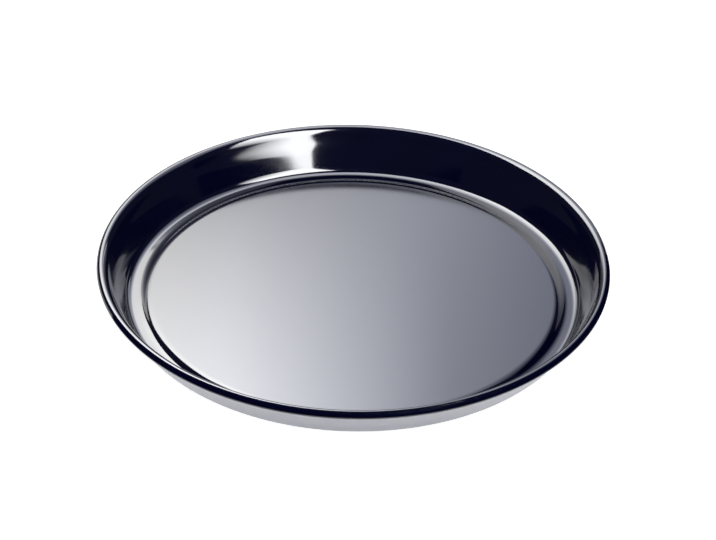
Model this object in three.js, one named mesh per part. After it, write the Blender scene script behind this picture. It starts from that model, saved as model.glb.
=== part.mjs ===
// A round quiche pan of enamelled sheet steel, standing on its foot ring, with +Z up and
// its origin on the table under the middle of the floor. One sheet is pressed to a raised
// floor panel, a groove round it and a flared wall, which bends outwards at the top into a
// rim that is rolled over a wire.
// Vitreous enamel covers the sheet on the food side and on the under side.
import * as THREE from 'three';

// Driving dimensions, in millimetres, with angles in degrees.
const RIM_DIAMETER = 280; // over the finished rim
const RIM_HEIGHT = 24.6; // top of the finished rim above the table
const STEEL_THICKNESS = 0.8;
const INNER_ENAMEL_THICKNESS = 0.2;
const OUTER_ENAMEL_THICKNESS = 0.2;
const BOND_GAP = 0.02; // between a coat of enamel and the steel that it is fused to
const WIRE_DIAMETER = 2.6; // stiffening wire inside the rolled rim
const WIRE_CLEARANCE = 0.1; // between the wire and the curl round it
const CURL_GAP = 0.3; // between the end of the curl and the wall
const FOOT_RING_DIAMETER = 238.6; // middle of the flat ring that the pan stands on
const FOOT_RING_WIDTH = 2;
const FLOOR_RISE = 2.1; // floor panel above the groove round it
const STEP_SLOPE = 28; // steepest slope between the groove and the floor panel
const BASE_FILLET = 5.2; // inside radius between the groove and the wall
const RIM_BEND_RADIUS = 7; // where the wall bends outwards into the rolled rim
const RIM_BEND_END = 60; // slope from upright at which the bend meets the rolled rim

// Fineness of the facets.
const SEGMENTS = 48; // round the axis
const STEP_FACETS = 3; // along each of the two arcs of the step
const FILLET_FACETS = 4;
const BEND_FACETS = 2; // on each side of the place where the outer coat stops
const CURL_FACETS = 10;
const WIRE_SIDES = 10;

// Sizes that follow from the driving dimensions.
const radians = THREE.MathUtils.degToRad;
const INNER_COAT = INNER_ENAMEL_THICKNESS;
const STEEL_INSIDE = INNER_COAT + BOND_GAP;
const STEEL_OUTSIDE = STEEL_INSIDE + STEEL_THICKNESS;
const OUTER_COAT = STEEL_OUTSIDE + BOND_GAP;
const SHEET = OUTER_COAT + OUTER_ENAMEL_THICKNESS; // finished thickness, both coats included
const WIRE_RADIUS = WIRE_DIAMETER / 2;
const BEAD_RADIUS = WIRE_RADIUS + WIRE_CLEARANCE + STEEL_OUTSIDE; // of the finished rim
const BEAD_R = RIM_DIAMETER / 2 - BEAD_RADIUS; // distance of the wire from the axis
const BEAD_Z = RIM_HEIGHT - BEAD_RADIUS;
const GROOVE_Z = SHEET; // inside of the groove, whose under side stands on the table
const GROOVE_INNER_R = (FOOT_RING_DIAMETER - FOOT_RING_WIDTH) / 2;
const GROOVE_OUTER_R = (FOOT_RING_DIAMETER + FOOT_RING_WIDTH) / 2;
const SLOPE = radians(STEP_SLOPE);
const STEP_RADIUS = FLOOR_RISE / (2 * (1 - Math.cos(SLOPE)));
const FLOOR_R = GROOVE_INNER_R - 2 * STEP_RADIUS * Math.sin(SLOPE);
const FLOOR_Z = GROOVE_Z + FLOOR_RISE;
const BEND_END = radians(RIM_BEND_END);
// The fillet and the bend are drawn tighter together where the room between the foot ring and
// the rolled rim is too narrow for both of them beside an upright wall.
const WALL_ROOM = BEAD_R - BEAD_RADIUS - GROOVE_OUTER_R;
const BEND_REACH = (RIM_BEND_RADIUS - BEAD_RADIUS) * (1 - Math.cos(BEND_END));
const TIGHTENING = Math.min(1, WALL_ROOM / (BASE_FILLET + BEND_REACH));
const FILLET_RADIUS = BASE_FILLET * TIGHTENING;
const BEND_SHIFT = (RIM_BEND_RADIUS - BEAD_RADIUS) * TIGHTENING; // from the rolled rim's centre
const BEND_RADIUS = BEAD_RADIUS + BEND_SHIFT;
const BEND_R = BEAD_R + BEND_SHIFT * Math.cos(BEND_END);
const BEND_Z = BEAD_Z - BEND_SHIFT * Math.sin(BEND_END);
const WALL_FLARE = wallFlare();
const BEND_TURN = BEND_END - WALL_FLARE;
const CURL_OPEN = curlOpening();
const COAT_END = WALL_FLARE + coatTurn(); // slope of the bend where the outer coat stops

// Angle of the wall from upright: the line that touches the fillet on its outer side
// and the bend under the rim on its inner side.
function wallFlare() {
  const toFillet = new THREE.Vector2(GROOVE_OUTER_R - BEND_R, GROOVE_Z + FILLET_RADIUS - BEND_Z);
  const touch = Math.acos(-(FILLET_RADIUS + BEND_RADIUS) / toFillet.length());
  return -Math.atan2(toFillet.y, toFillet.x) - touch;
}

// Angle at the wire, from square to the wall to the lip, that leaves the gap between the lip
// and the wall.
function curlOpening() {
  const wireToWall = BEND_RADIUS - BEND_SHIFT * Math.cos(BEND_TURN) - SHEET;
  return Math.acos((wireToWall - CURL_GAP) / BEAD_RADIUS);
}

// Turn of the bend up to the lip of the curl, which is where the outer coat stops.
function coatTurn() {
  const lipAboveBend = BEND_SHIFT * Math.sin(BEND_TURN) - BEAD_RADIUS * Math.sin(CURL_OPEN);
  return Math.asin(Math.max(0, lipAboveBend) / (BEND_RADIUS - SHEET));
}

// A station is a point of the finished inside face, in the half plane of radius and height,
// with the unit normal that points through the sheet to its outside.
function station(r, z, normalR, normalZ) {
  return { point: new THREE.Vector2(r, z), normal: new THREE.Vector2(normalR, normalZ) };
}

// Stations along an arc from one angle to another, both ends included.
function arc(from, to, facets, stationAt) {
  const steps = Array.from({ length: facets + 1 }, (_, i) => i / facets);
  return steps.map((share) => stationAt(THREE.MathUtils.lerp(from, to, share)));
}

// The rounded edge of the floor panel, from level to the steepest slope.
function shoulder() {
  return arc(0, SLOPE, STEP_FACETS, (a) => station(
    FLOOR_R + STEP_RADIUS * Math.sin(a),
    FLOOR_Z - STEP_RADIUS * (1 - Math.cos(a)),
    -Math.sin(a),
    -Math.cos(a),
  ));
}

// The inner side of the groove, from the steepest slope down to level.
function grooveSide() {
  return arc(SLOPE, 0, STEP_FACETS, (a) => station(
    GROOVE_INNER_R - STEP_RADIUS * Math.sin(a),
    GROOVE_Z + STEP_RADIUS * (1 - Math.cos(a)),
    -Math.sin(a),
    -Math.cos(a),
  ));
}

// The fillet from the groove up into the wall.
function baseFillet() {
  return arc(0, Math.PI / 2 - WALL_FLARE, FILLET_FACETS, (a) => station(
    GROOVE_OUTER_R + FILLET_RADIUS * Math.sin(a),
    GROOVE_Z + FILLET_RADIUS * (1 - Math.cos(a)),
    Math.sin(a),
    -Math.cos(a),
  ));
}

// Part of the bend outwards at the top of the wall, between two slopes from upright.
function rimBend(from, to) {
  return arc(from, to, BEND_FACETS, (a) => station(
    BEND_R - BEND_RADIUS * Math.cos(a),
    BEND_Z + BEND_RADIUS * Math.sin(a),
    Math.cos(a),
    -Math.sin(a),
  ));
}

// The rim, rolled outwards and down from the end of the bend and back to the wall.
function curl() {
  const from = Math.PI - BEND_END;
  const to = Math.PI - WALL_FLARE - 2 * Math.PI + CURL_OPEN;
  return arc(from, to, CURL_FACETS, (a) => station(
    BEAD_R + BEAD_RADIUS * Math.cos(a),
    BEAD_Z + BEAD_RADIUS * Math.sin(a),
    -Math.cos(a),
    -Math.sin(a),
  ));
}

// The sheet from the axis to the lip of the curl. The under side is bare inside the curl,
// so its coat stops where the lip comes back to the sheet.
const FLOOR_AND_WALL = [
  station(0, FLOOR_Z, 0, -1),
  ...shoulder(),
  ...grooveSide().slice(1),
  ...baseFillet(),
  ...rimBend(WALL_FLARE, COAT_END),
];
const WHOLE_SHEET = [
  ...FLOOR_AND_WALL,
  ...rimBend(COAT_END, BEND_END).slice(1),
  ...curl().slice(1),
];

// A layer of the sheet between two depths below the inside face, turned round the axis.
function layer(stations, nearDepth, farDepth) {
  const faceAt = (depth) => stations.map(
    ({ point, normal }) => point.clone().addScaledVector(normal, depth),
  );
  const loop = [...faceAt(farDepth), ...faceAt(nearDepth).reverse()];
  const startsOnAxis = stations[0].point.x === 0;
  return new THREE.LatheGeometry(startsOnAxis ? loop : [...loop, loop[0].clone()], SEGMENTS);
}

// A closed ring of round wire at the middle of the rolled rim.
function wireRing() {
  const section = Array.from({ length: WIRE_SIDES + 1 }, (_, i) => {
    const turn = (2 * Math.PI * (i % WIRE_SIDES)) / WIRE_SIDES;
    return new THREE.Vector2(
      BEAD_R + WIRE_RADIUS * Math.cos(turn),
      BEAD_Z + WIRE_RADIUS * Math.sin(turn),
    );
  });
  return new THREE.LatheGeometry(section, SEGMENTS);
}

// A named piece, turned so that the axis of its lathe points up.
function piece(name, geometry, material) {
  const mesh = new THREE.Mesh(geometry, material);
  mesh.name = name;
  mesh.rotation.x = Math.PI / 2;
  return mesh;
}

const darkEnamel = new THREE.MeshStandardMaterial({
  color: '#050723', roughness: 0.1, metalness: 0,
});
const greyEnamel = new THREE.MeshStandardMaterial({
  color: '#dbdde6', roughness: 0.2, metalness: 0,
});
const sheetSteel = new THREE.MeshStandardMaterial({
  color: '#8b8d92', roughness: 0.45, metalness: 1,
});
const wireSteel = new THREE.MeshStandardMaterial({
  color: '#a2a4a8', roughness: 0.35, metalness: 1,
});

const quichePan = new THREE.Group();
quichePan.add(
  piece('steel_pan', layer(WHOLE_SHEET, STEEL_INSIDE, STEEL_OUTSIDE), sheetSteel),
  piece('rim_wire', wireRing(), wireSteel),
  piece('inner_enamel', layer(WHOLE_SHEET, 0, INNER_COAT), darkEnamel),
  piece('outer_enamel', layer(FLOOR_AND_WALL, OUTER_COAT, SHEET), greyEnamel),
);

export default quichePan;
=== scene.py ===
"""A round enamelled quiche pan on a white table, seen from above the front.

Each piece is a closed profile in the half plane of radius and height, turned round the
pan's axis. The profiles are layers of one sheet: its finished inside face is a list of
stations, each a point with the unit normal through the sheet, and a layer lies between
two depths along those normals. All sizes are in metres.
"""
import math

import bpy
import numpy as np
from mathutils import Matrix, Vector


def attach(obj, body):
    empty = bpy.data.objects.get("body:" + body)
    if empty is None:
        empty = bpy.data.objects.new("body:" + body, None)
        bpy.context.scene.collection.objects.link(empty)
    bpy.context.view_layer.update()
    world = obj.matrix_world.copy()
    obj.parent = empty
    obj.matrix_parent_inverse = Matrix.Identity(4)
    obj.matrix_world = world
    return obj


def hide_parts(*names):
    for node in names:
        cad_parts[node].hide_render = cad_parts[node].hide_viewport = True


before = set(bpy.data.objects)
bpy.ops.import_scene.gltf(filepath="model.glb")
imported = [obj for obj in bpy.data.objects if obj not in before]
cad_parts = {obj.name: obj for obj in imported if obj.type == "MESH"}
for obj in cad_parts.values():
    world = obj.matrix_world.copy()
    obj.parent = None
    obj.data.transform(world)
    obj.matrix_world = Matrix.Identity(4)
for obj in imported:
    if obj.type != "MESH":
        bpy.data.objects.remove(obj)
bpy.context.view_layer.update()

MM = 0.001

# Sizes of the pan, as in the part.
RIM_RADIUS = 140 * MM
RIM_HEIGHT = 24.6 * MM
STEEL_THICKNESS = 0.8 * MM
ENAMEL_THICKNESS = 0.2 * MM
BOND_GAP = 0.02 * MM
WIRE_RADIUS = 1.3 * MM
WIRE_CLEARANCE = 0.1 * MM
CURL_GAP = 0.3 * MM
FOOT_RING_RADIUS = 119.3 * MM
FOOT_RING_WIDTH = 2 * MM
FLOOR_RISE = 2.1 * MM
STEP_SLOPE = math.radians(28)
BASE_FILLET = 5.2 * MM
RIM_BEND_RADIUS = 7 * MM
RIM_BEND_END = math.radians(60)
WALL_LEAN = 0.12  # extra slope of the drawn wall where it leans out most
LEAN_PLACE = 0.73  # share of the way up the wall
LEAN_WIDTH = 0.15

# Depths of the layers below the finished inside face.
STEEL_INSIDE = ENAMEL_THICKNESS + BOND_GAP
STEEL_OUTSIDE = STEEL_INSIDE + STEEL_THICKNESS
OUTER_COAT = STEEL_OUTSIDE + BOND_GAP
SHEET = OUTER_COAT + ENAMEL_THICKNESS

# Sizes that follow.
BEAD_RADIUS = WIRE_RADIUS + WIRE_CLEARANCE + STEEL_OUTSIDE
BEAD = np.array([RIM_RADIUS - BEAD_RADIUS, RIM_HEIGHT - BEAD_RADIUS])
GROOVE_INNER = FOOT_RING_RADIUS - FOOT_RING_WIDTH / 2
GROOVE_OUTER = FOOT_RING_RADIUS + FOOT_RING_WIDTH / 2
STEP_RADIUS = FLOOR_RISE / (2 * (1 - math.cos(STEP_SLOPE)))
FLOOR_RADIUS = GROOVE_INNER - 2 * STEP_RADIUS * math.sin(STEP_SLOPE)
FLOOR_HEIGHT = SHEET + FLOOR_RISE
FILLET = np.array([GROOVE_OUTER, SHEET + BASE_FILLET])
BEND_SHIFT = RIM_BEND_RADIUS - BEAD_RADIUS
BEND = BEAD + BEND_SHIFT * np.array([math.cos(RIM_BEND_END), -math.sin(RIM_BEND_END)])
TO_FILLET = FILLET - BEND
WALL_FLARE = -math.atan2(TO_FILLET[1], TO_FILLET[0]) - math.acos(
    -(BASE_FILLET + RIM_BEND_RADIUS) / math.hypot(*TO_FILLET))
BEND_TURN = RIM_BEND_END - WALL_FLARE
WIRE_TO_WALL = RIM_BEND_RADIUS - BEND_SHIFT * math.cos(BEND_TURN) - SHEET
CURL_OPENING = math.acos((WIRE_TO_WALL - CURL_GAP) / BEAD_RADIUS)
LIP_ABOVE_BEND = BEND_SHIFT * math.sin(BEND_TURN) - BEAD_RADIUS * math.sin(CURL_OPENING)
COAT_END = WALL_FLARE + math.asin(max(0, LIP_ABOVE_BEND) / (RIM_BEND_RADIUS - SHEET))

# Facets of the turned pieces.
TURN_SEGMENTS = 288
STEP_FACETS = 14
FILLET_FACETS = 16
BEND_FACETS = 6
WALL_FACETS = 40
CURL_FACETS = 40
WIRE_FACETS = 24
SHARP_EDGE = math.radians(40)  # turn between facets that shows as an edge

# Values of the enamels, the table and the light. Places are in metres from the pan's middle.
GLASS_IOR = 1.52
TABLE_HALF_WIDTH = 8.0
PAPER_GLOW = 0.8  # of the table, as the camera and the gloss see it
ROOM_GLOW = 0.14
CARD_WHITE = "#f5f7ff"
WHITE_TO_BLUE = ("#ffffff", "#dce3ff")  # of the two cards over the back half of the pan
DRIFT_START = -0.15  # along X, where those cards start to turn blue
DRIFT_END = 0.25
CARDS_HEIGHT = 0.36
CARDS_FRONT = 0.13
CARDS_END = 0.76
SEAM = 0.07  # along X, where those cards meet
SEAM_LIGHT = 3.75  # of both at the seam
FIRST_IMAGE_LIMIT = 1.5  # between one mirroring and two
FLAG_START = 80  # degrees from straight behind towards the right
FLAG_END = 250
FLAG_FACETS = 40
FLAG_CLEARANCE = 8 * MM  # outside the rim
FLAG_BELOW_RIM = 13 * MM
FLAG_ABOVE_RIM = 50 * MM


def arc(centre, radius, start, end, facets, side):
    """Stations on a circle: centre plus radius times the direction of each angle, with that
    direction as the normal where side is 1 and its opposite where side is -1."""
    angles = np.linspace(start, end, facets + 1)
    directions = np.column_stack([np.cos(angles), np.sin(angles)])
    return np.hstack([centre + radius * directions, side * directions])


def rim_bend(start, end):
    """Stations of the bend outwards at the top of the wall, between two slopes from upright."""
    return arc(BEND, RIM_BEND_RADIUS, math.pi - start, math.pi - end, BEND_FACETS, -1)


def drawn_wall(start, end):
    """Stations of the wall between the fillet and the bend. At a share s of the way up, its slope
    differs from straight by WALL_LEAN times a bump, exp(-((s - LEAN_PLACE) / LEAN_WIDTH) squared),
    less the mean of that bump, so that the wall meets both ends."""
    share = np.linspace(0, 1, WALL_FACETS + 1)
    bump = np.exp(-((share - LEAN_PLACE) / LEAN_WIDTH) ** 2)
    between = (bump[1:] + bump[:-1]) / 2
    slope = WALL_LEAN * (bump - between.mean())[1:-1, None]
    along, through = end[:2] - start[:2], start[2:]
    length = np.linalg.norm(along)
    swell = WALL_LEAN * length / WALL_FACETS * np.cumsum(between - between.mean())[:-1, None]
    points = start[:2] + share[1:-1, None] * along + swell * through
    normals = through - slope * along / length
    return np.hstack([points, normals / np.linalg.norm(normals, axis=1)[:, None]])


def floor_and_wall():
    """Stations from the axis along the floor, down the step, through the groove, up the wall
    and into the bend, to the place that the lip of the curl comes back to."""
    quarter = math.pi / 2
    middle = np.array([[0, FLOOR_HEIGHT, 0, -1]])
    shoulder = arc((FLOOR_RADIUS, FLOOR_HEIGHT - STEP_RADIUS), STEP_RADIUS,
                   quarter, quarter - STEP_SLOPE, STEP_FACETS, -1)
    groove = arc((GROOVE_INNER, SHEET + STEP_RADIUS), STEP_RADIUS,
                 -quarter - STEP_SLOPE, -quarter, STEP_FACETS, 1)
    fillet = arc(FILLET, BASE_FILLET, -quarter, -WALL_FLARE, FILLET_FACETS, 1)
    bend = rim_bend(WALL_FLARE, COAT_END)
    wall = drawn_wall(fillet[-1], bend[0])
    return np.vstack([middle, shoulder, groove[1:], fillet, wall, bend])


def rolled_rim():
    """Stations from there through the rest of the bend, outwards over the wire and back."""
    start, end = math.pi - RIM_BEND_END, -math.pi - WALL_FLARE + CURL_OPENING
    curl = arc(BEAD, BEAD_RADIUS, start, end, CURL_FACETS, -1)
    return np.vstack([rim_bend(COAT_END, RIM_BEND_END)[1:], curl[1:]])


def layer(stations, near, far):
    """Profile between two depths: out along the far face, then back along the near face."""
    points, normals = stations[:, :2], stations[:, 2:]
    return np.vstack([points + far * normals, (points + near * normals)[::-1]])


def turned(name, profile, closes_on_itself, material):
    """Turns a profile round the axis: point i at angle t lies at radius r_i times the cosine
    and sine of t, at height z_i. A profile either starts and ends on the axis, where each end
    is one point under a fan, or closes on itself."""
    ends = 0 if closes_on_itself else 1
    rings = profile[ends:len(profile) - ends]
    count = len(rings)
    turns = np.linspace(0, 2 * math.pi, TURN_SEGMENTS, endpoint=False)
    radius, height = rings[:, :1], rings[:, 1:]
    grid = np.stack([radius * np.cos(turns), radius * np.sin(turns),
                     np.broadcast_to(height, (count, TURN_SEGMENTS))], axis=-1)
    vertices = grid.reshape(-1, 3)

    along = np.arange(count if closes_on_itself else count - 1)[:, None]
    here = np.arange(TURN_SEGMENTS)[None, :]
    beside = (here + 1) % TURN_SEGMENTS
    row, next_row = along * TURN_SEGMENTS, (along + 1) % count * TURN_SEGMENTS
    quads = np.stack([row + here, row + beside, next_row + beside, next_row + here], axis=-1)
    faces = quads.reshape(-1, 4).tolist()
    if not closes_on_itself:
        first, last = len(vertices), len(vertices) + 1
        poles = np.column_stack([np.zeros((2, 2)), profile[[0, -1], 1]])
        vertices = np.vstack([vertices, poles])
        top = (count - 1) * TURN_SEGMENTS
        here, beside = here[0], beside[0]
        faces += np.column_stack([np.full_like(here, first), beside, here]).tolist()
        faces += np.column_stack([top + here, top + beside, np.full_like(here, last)]).tolist()

    mesh = bpy.data.meshes.new(name)
    mesh.from_pydata(vertices.tolist(), [], faces)
    mesh.shade_smooth()
    mesh.set_sharp_from_angle(angle=SHARP_EDGE)
    mesh.materials.append(material)
    piece = bpy.data.objects.new(name, mesh)
    bpy.context.scene.collection.objects.link(piece)
    return piece


def linear(hex_colour):
    """An sRGB hex colour as linear red, green, blue and alpha."""
    srgb = np.array([int(hex_colour[i:i + 2], 16) for i in (1, 3, 5)]) / 255
    channels = np.where(srgb <= 0.04045, srgb / 12.92, ((srgb + 0.055) / 1.055) ** 2.4)
    return (*channels.tolist(), 1.0)


def add(tree, kind, inputs=None, **settings):
    """Adds a node, sets its settings, and sets or links its inputs."""
    node = tree.nodes.new(kind)
    for name, value in settings.items():
        setattr(node, name, value)
    for socket, value in (inputs or {}).items():
        if isinstance(value, bpy.types.NodeSocket):
            tree.links.new(value, node.inputs[socket])
        else:
            node.inputs[socket].default_value = value
    return node


def new_material(name):
    """An empty node material and its tree."""
    material = bpy.data.materials.new(name)
    material.use_nodes = True
    material.node_tree.nodes.clear()
    return material, material.node_tree


def show(tree, shader):
    """Links a shader to the material's output."""
    add(tree, "ShaderNodeOutputMaterial", {"Surface": shader.outputs[0]})


def dark_enamel():
    """Blue-black vitreous enamel, sprayed and fired: a deep glass that mirrors the lights, and is
    slightly dulled on the floor by use."""
    material, tree = new_material("dark_enamel")
    place = add(tree, "ShaderNodeTexCoord").outputs["Object"]
    flat = add(tree, "ShaderNodeVectorMath", {0: place, 1: (1, 1, 0)}, operation="MULTIPLY")
    radius = add(tree, "ShaderNodeVectorMath", {0: flat.outputs[0]}, operation="LENGTH")
    on_floor = add(tree, "ShaderNodeMapRange", {
        "Value": radius.outputs["Value"], "From Min": FLOOR_RADIUS + 4 * MM,
        "From Max": FLOOR_RADIUS - 2 * MM, "To Min": 0.0, "To Max": 1.0,
    }, interpolation_type="SMOOTHSTEP")

    # Cloudy dulling, in patches about 12 mm wide.
    clouds = add(tree, "ShaderNodeTexNoise", {
        "Vector": place, "Scale": 1 / (12 * MM), "Detail": 3.0, "Roughness": 0.6})
    floor_roughness = add(tree, "ShaderNodeMapRange", {
        "Value": clouds.outputs["Fac"], "From Min": 0.3, "From Max": 0.7,
        "To Min": 0.11, "To Max": 0.14})
    wall_roughness = add(tree, "ShaderNodeMapRange", {
        "Value": clouds.outputs["Fac"], "From Min": 0.3, "From Max": 0.7,
        "To Min": 0.06, "To Max": 0.09})
    roughness = add(tree, "ShaderNodeMix", {
        "Factor": on_floor.outputs[0], "A": wall_roughness.outputs[0],
        "B": floor_roughness.outputs[0]})

    # Orange peel of the fired glass, in waves about 6 mm wide.
    peel = add(tree, "ShaderNodeTexNoise", {
        "Vector": place, "Scale": 1 / (6 * MM), "Detail": 1.0})
    surface = add(tree, "ShaderNodeBump", {
        "Height": peel.outputs["Fac"], "Strength": 0.5, "Distance": 0.006 * MM})

    # Slight drift of the colour where the coat is thicker, over about 25 mm.
    drift = add(tree, "ShaderNodeTexNoise", {
        "Vector": place, "Scale": 1 / (25 * MM), "Detail": 2.0})
    colour = add(tree, "ShaderNodeMix", {
        "Factor": drift.outputs["Fac"], "A": linear("#04061f"), "B": linear("#060827"),
    }, data_type="RGBA")
    show(tree, add(tree, "ShaderNodeBsdfPrincipled", {
        "Base Color": colour.outputs["Result"], "Roughness": roughness.outputs["Result"],
        "Normal": surface.outputs[0], "IOR": GLASS_IOR}))
    return material


def grey_enamel():
    """Pale grey vitreous enamel of the outside: opaque, glossy, with the fine darker specks of
    the ground coat showing through."""
    material, tree = new_material("grey_enamel")
    place = add(tree, "ShaderNodeTexCoord").outputs["Object"]
    # Specks about 0.4 mm wide in a field about 1.5 mm apart.
    specks = add(tree, "ShaderNodeTexVoronoi", {"Vector": place, "Scale": 1 / (1.5 * MM)})
    speck = add(tree, "ShaderNodeMapRange", {
        "Value": specks.outputs["Distance"], "From Min": 0.08, "From Max": 0.16,
        "To Min": 0.35, "To Max": 0.0})
    drift = add(tree, "ShaderNodeTexNoise", {
        "Vector": place, "Scale": 1 / (30 * MM), "Detail": 3.0})
    coat = add(tree, "ShaderNodeMix", {
        "Factor": drift.outputs["Fac"], "A": linear("#d8dae3"), "B": linear("#dfe0e8"),
    }, data_type="RGBA")
    colour = add(tree, "ShaderNodeMix", {
        "Factor": speck.outputs[0], "A": coat.outputs["Result"], "B": linear("#8b8d98"),
    }, data_type="RGBA")
    peel = add(tree, "ShaderNodeTexNoise", {
        "Vector": place, "Scale": 1 / (3 * MM), "Detail": 1.0})
    surface = add(tree, "ShaderNodeBump", {
        "Height": peel.outputs["Fac"], "Strength": 0.6, "Distance": 0.02 * MM})
    roughness = add(tree, "ShaderNodeMapRange", {
        "Value": drift.outputs["Fac"], "To Min": 0.14, "To Max": 0.26})
    show(tree, add(tree, "ShaderNodeBsdfPrincipled", {
        "Base Color": colour.outputs["Result"], "Roughness": roughness.outputs[0],
        "Normal": surface.outputs[0], "IOR": GLASS_IOR}))
    return material


def rolled_steel(name, pale, dark, roughness_low, roughness_high):
    """Cold rolled or drawn steel: a grey metal with fine streaks about 0.6 mm apart."""
    material, tree = new_material(name)
    place = add(tree, "ShaderNodeTexCoord").outputs["Object"]
    streaks = add(tree, "ShaderNodeTexNoise", {
        "Vector": place, "Scale": 1 / (0.6 * MM), "Detail": 3.0})
    colour = add(tree, "ShaderNodeMix", {
        "Factor": streaks.outputs["Fac"], "A": linear(dark), "B": linear(pale),
    }, data_type="RGBA")
    roughness = add(tree, "ShaderNodeMapRange", {
        "Value": streaks.outputs["Fac"], "To Min": roughness_low, "To Max": roughness_high})
    show(tree, add(tree, "ShaderNodeBsdfPrincipled", {
        "Base Color": colour.outputs["Result"], "Metallic": 1.0,
        "Roughness": roughness.outputs[0]}))
    return material


def make_pan():
    """The two coats, the sheet between them and the wire in the rolled rim."""
    inside_and_wall = floor_and_wall()
    whole_sheet = np.vstack([inside_and_wall, rolled_rim()])
    wire = arc(BEAD, WIRE_RADIUS, 0, 2 * math.pi, WIRE_FACETS, 1)[:-1, :2]
    sheet_steel = rolled_steel("sheet_steel", "#9a9ca1", "#85878c", 0.35, 0.5)
    wire_steel = rolled_steel("wire_steel", "#adafb3", "#96989c", 0.3, 0.4)
    pieces = [
        (turned("enamel_inside", layer(whole_sheet, 0, ENAMEL_THICKNESS), False, dark_enamel()),
         "inner_enamel", "dark_enamel"),
        (turned("enamel_outside", layer(inside_and_wall, OUTER_COAT, SHEET), False, grey_enamel()),
         "outer_enamel", "grey_enamel"),
        (turned("pressed_sheet", layer(whole_sheet, STEEL_INSIDE, STEEL_OUTSIDE), False, sheet_steel),
         "steel_pan", "sheet_steel"),
        (turned("wire_in_rim", wire, True, wire_steel), "rim_wire", "wire_steel"),
    ]
    for piece, node, finish in pieces:
        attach(piece, "root")
        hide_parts(node)


def white_paper():
    """Matt white paper of the table: it takes the pan's shadow, and the camera and the gloss
    of the pan see it lit up to white."""
    material, tree = new_material("white_paper")
    ray = add(tree, "ShaderNodeLightPath").outputs
    seen = add(tree, "ShaderNodeMath", {0: ray["Is Camera Ray"], 1: ray["Is Glossy Ray"]},
               operation="MAXIMUM")
    seen = add(tree, "ShaderNodeMath", {0: seen.outputs[0], 1: ray["Is Transmission Ray"]},
               operation="MAXIMUM")
    strength = add(tree, "ShaderNodeMath", {0: seen.outputs[0], 1: PAPER_GLOW},
                   operation="MULTIPLY")
    paper = add(tree, "ShaderNodeBsdfDiffuse", {"Color": linear("#ececec")})
    lit = add(tree, "ShaderNodeEmission", {
        "Color": linear("#ffffff"), "Strength": strength.outputs[0]})
    show(tree, add(tree, "ShaderNodeAddShader", {0: paper.outputs[0], 1: lit.outputs[0]}))
    return material


def make_table():
    """A wide flat sheet of paper under the pan."""
    half = TABLE_HALF_WIDTH
    mesh = bpy.data.meshes.new("table")
    corners = [(-half, -half, 0), (half, -half, 0), (half, half, 0), (-half, half, 0)]
    mesh.from_pydata(corners, [], [(0, 1, 2, 3)])
    mesh.materials.append(white_paper())
    table = bpy.data.objects.new("table", mesh)
    bpy.context.scene.collection.objects.link(table)


def around(azimuth, elevation, distance):
    """A place round the pan: azimuth in degrees from straight behind it towards the right."""
    a, e = math.radians(azimuth), math.radians(elevation)
    level = math.cos(e)
    return distance * Vector((math.sin(a) * level, math.cos(a) * level, math.sin(e)))


def glow(name, bright, dim, fades, colours, first_only):
    """Light of a reflector card. Each fade is an axis and two places in metres along it, where
    the card is bright and where it is dim: the strength is dim plus the rest times every fade.
    Of two colours, the first holds up to DRIFT_START along X and the second from DRIFT_END on,
    with an even drift between them. A card that is first_only shows in first mirror images
    alone: it is dark to a ray that has met the gloss of the pan twice."""
    material, tree = new_material(name)
    place = add(tree, "ShaderNodeTexCoord").outputs["Object"]
    along = add(tree, "ShaderNodeSeparateXYZ", {0: place}).outputs
    strength = bright
    for axis, bright_at, dim_at in fades:
        strength = add(tree, "ShaderNodeMapRange", {
            "Value": along[axis], "From Min": dim_at, "From Max": bright_at,
            "To Min": dim, "To Max": strength}).outputs[0]
    if first_only:
        depth = add(tree, "ShaderNodeLightPath").outputs["Glossy Depth"]
        first = add(tree, "ShaderNodeMath", {0: depth, 1: FIRST_IMAGE_LIMIT},
                    operation="LESS_THAN")
        strength = add(tree, "ShaderNodeMath", {0: strength, 1: first.outputs[0]},
                       operation="MULTIPLY").outputs[0]
    colour = linear(colours[0])
    if len(colours) > 1:
        drift = add(tree, "ShaderNodeMapRange", {
            "Value": along["X"], "From Min": DRIFT_START, "From Max": DRIFT_END})
        colour = add(tree, "ShaderNodeMix", {
            "Factor": drift.outputs[0], "A": colour, "B": linear(colours[1]),
        }, data_type="RGBA").outputs["Result"]
    show(tree, add(tree, "ShaderNodeEmission", {"Color": colour, "Strength": strength}))
    return material


def reflector(name, corners, bright, dim=0.0, fades=(), faces=None, colours=(CARD_WHITE,),
              first_only=False):
    """A lit card between its corners that only the gloss of the pan sees, so that the lamps
    alone light its colours."""
    mesh = bpy.data.meshes.new(name)
    mesh.from_pydata([tuple(corner) for corner in corners], [], faces or [range(len(corners))])
    mesh.materials.append(glow(name, bright, dim, fades, colours, first_only))
    card = bpy.data.objects.new(name, mesh)
    card.visible_camera = card.visible_diffuse = card.visible_shadow = False
    card.visible_transmission = card.visible_volume_scatter = False
    bpy.context.scene.collection.objects.link(card)


def flag_front():
    """A dark strip round the front of the rim, close outside it, that keeps the cards in front
    out of the rim's gloss."""
    turns = np.radians(np.linspace(FLAG_START, FLAG_END, FLAG_FACETS + 1))
    radius = RIM_RADIUS + FLAG_CLEARANCE
    low, high = RIM_HEIGHT - FLAG_BELOW_RIM, RIM_HEIGHT + FLAG_ABOVE_RIM
    edge = np.column_stack([radius * np.sin(turns), radius * np.cos(turns)])
    corners = np.vstack([np.column_stack([edge, np.full(len(edge), z)]) for z in (low, high)])
    count = len(edge)
    faces = [(i, i + 1, count + i + 1, count + i) for i in range(count - 1)]
    reflector("flag_front", corners, 0.0, faces=faces)


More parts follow.
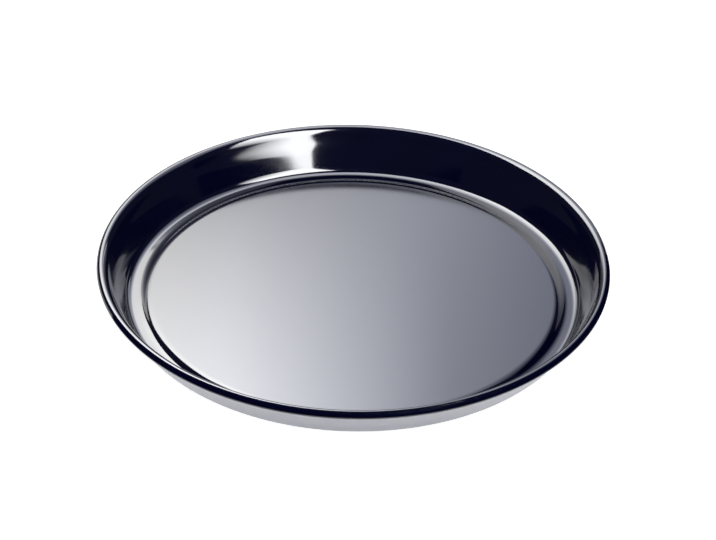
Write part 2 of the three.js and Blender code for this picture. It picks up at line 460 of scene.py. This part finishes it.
def make_cards():
    """The cards that the pan mirrors. Two low cards over the back half meet at SEAM and fill the
    floor: card_above is brightest at its front left, and card_beside carries its dim end on to
    the right. card_behind stands at their far edge, for the side walls and the groove. A tall
    card at the front right makes the highlight on the far wall, with a dim one below it, and a
    dark strip keeps both out of the front rim."""
    outline = [(-0.22, CARDS_FRONT), (SEAM, CARDS_FRONT), (SEAM, CARDS_END), (-0.4, CARDS_END),
               (-0.4, 0.37)]
    reflector("card_above", [(x, y, CARDS_HEIGHT) for x, y in outline], 20.5, SEAM_LIGHT,
              [("X", -0.09, SEAM), ("Y", 0.06, 0.72)], colours=WHITE_TO_BLUE)
    outline = [(SEAM, CARDS_FRONT), (0.36, CARDS_FRONT), (0.36, CARDS_END), (SEAM, CARDS_END)]
    reflector("card_beside", [(x, y, CARDS_HEIGHT) for x, y in outline], SEAM_LIGHT, 0.0,
              [("X", SEAM, 0.32)], colours=WHITE_TO_BLUE)
    outline = [(-0.42, 0.1), (0.4, 0.1), (0.4, CARDS_HEIGHT), (-0.42, CARDS_HEIGHT)]
    reflector("card_behind", [(x, CARDS_END, z) for x, z in outline], 5.0, 0.5,
              [("Z", 0.38, 0.22)])
    reflector("card_front", [(0.55, -1.38, 0.43), (1.29, -0.89, 0.43), (1.30, -0.69, 0.63),
                             (0.65, -0.06, 1.46), (0.18, -0.63, 1.46)],
              24.0, 0.4, [("X", 0.70, 1.22)], colours=("#fcfdff",), first_only=True)
    reflector("card_low", [(0.57, -1.42, 0.02), (1.5, -0.25, 0.02), (1.5, -0.25, 0.43),
                           (0.57, -1.42, 0.43)], 0.34, 0.0, [("Y", -1.15, -0.35)])
    flag_front()


def lamp(name, place, width, height, radiance):
    """A soft lamp that faces the pan, out of the gloss. Its power is its radiance times pi times
    its area."""
    light = bpy.data.lights.new(name, "AREA")
    light.shape = "RECTANGLE"
    light.size, light.size_y = width, height
    light.energy = radiance * math.pi * width * height
    holder = bpy.data.objects.new(name, light)
    holder.location = place
    holder.rotation_mode = "QUATERNION"
    holder.rotation_quaternion = (-place).to_track_quat("-Z", "Y")
    holder.visible_camera = holder.visible_glossy = False
    bpy.context.scene.collection.objects.link(holder)


def make_lamps():
    """Four plain lamps, above, in front and at both sides, that light the coats and the table."""
    lamp("lamp_above", around(180, 75, 1.8), 1.4, 1.4, 3.0)
    lamp("lamp_front", around(180, 35, 2.0), 1.6, 0.8, 0.5)
    lamp("lamp_left", around(-115, 20, 1.8), 1.0, 0.8, 2.4)
    lamp("lamp_right", around(115, 20, 1.8), 1.0, 0.8, 2.4)


def make_room():
    """A dim room round the pan, which the camera sees as white."""
    room = bpy.data.worlds.new("room")
    room.use_nodes = True
    tree = room.node_tree
    tree.nodes.clear()
    ray = add(tree, "ShaderNodeLightPath").outputs
    dim = add(tree, "ShaderNodeBackground", {"Color": linear("#9fa2ad"), "Strength": ROOM_GLOW})
    white = add(tree, "ShaderNodeBackground", {"Color": linear("#ffffff"), "Strength": 1.0})
    mixed = add(tree, "ShaderNodeMixShader", {
        0: ray["Is Camera Ray"], 1: dim.outputs[0], 2: white.outputs[0]})
    add(tree, "ShaderNodeOutputWorld", {"Surface": mixed.outputs[0]})
    bpy.context.scene.world = room


def make_camera():
    """A long lens from the front at about 34 degrees above the table, rolled slightly."""
    picture_width, sensor_width = 716, 36
    distance = 14 * RIM_RADIUS
    pixels_per_radius = 256.5
    elevation, roll = math.radians(34.42), math.radians(1.46)
    rim_centre = Vector((0, 0, BEAD[1]))
    place = rim_centre + distance * Vector((0, -math.cos(elevation), math.sin(elevation)))
    aim = rim_centre + RIM_RADIUS * Vector((0.018, -0.043, 0))
    forward = (aim - place).normalized()
    level = forward.cross(Vector((0, 0, 1))).normalized()
    upright = level.cross(forward)
    right = math.cos(roll) * level + math.sin(roll) * upright
    up = math.cos(roll) * upright - math.sin(roll) * level
    lens = bpy.data.cameras.new("camera")
    lens.sensor_width = sensor_width
    lens.lens = sensor_width * pixels_per_radius * distance / RIM_RADIUS / picture_width
    lens.clip_end = 100
    camera = bpy.data.objects.new("camera", lens)
    turn = Matrix((right, up, -forward)).transposed().to_4x4()
    camera.matrix_world = Matrix.Translation(place) @ turn
    bpy.context.scene.collection.objects.link(camera)
    bpy.context.scene.camera = camera


make_pan()
make_table()
make_cards()
make_lamps()
make_room()
make_camera()
bpy.context.scene.view_settings.view_transform = "Standard"
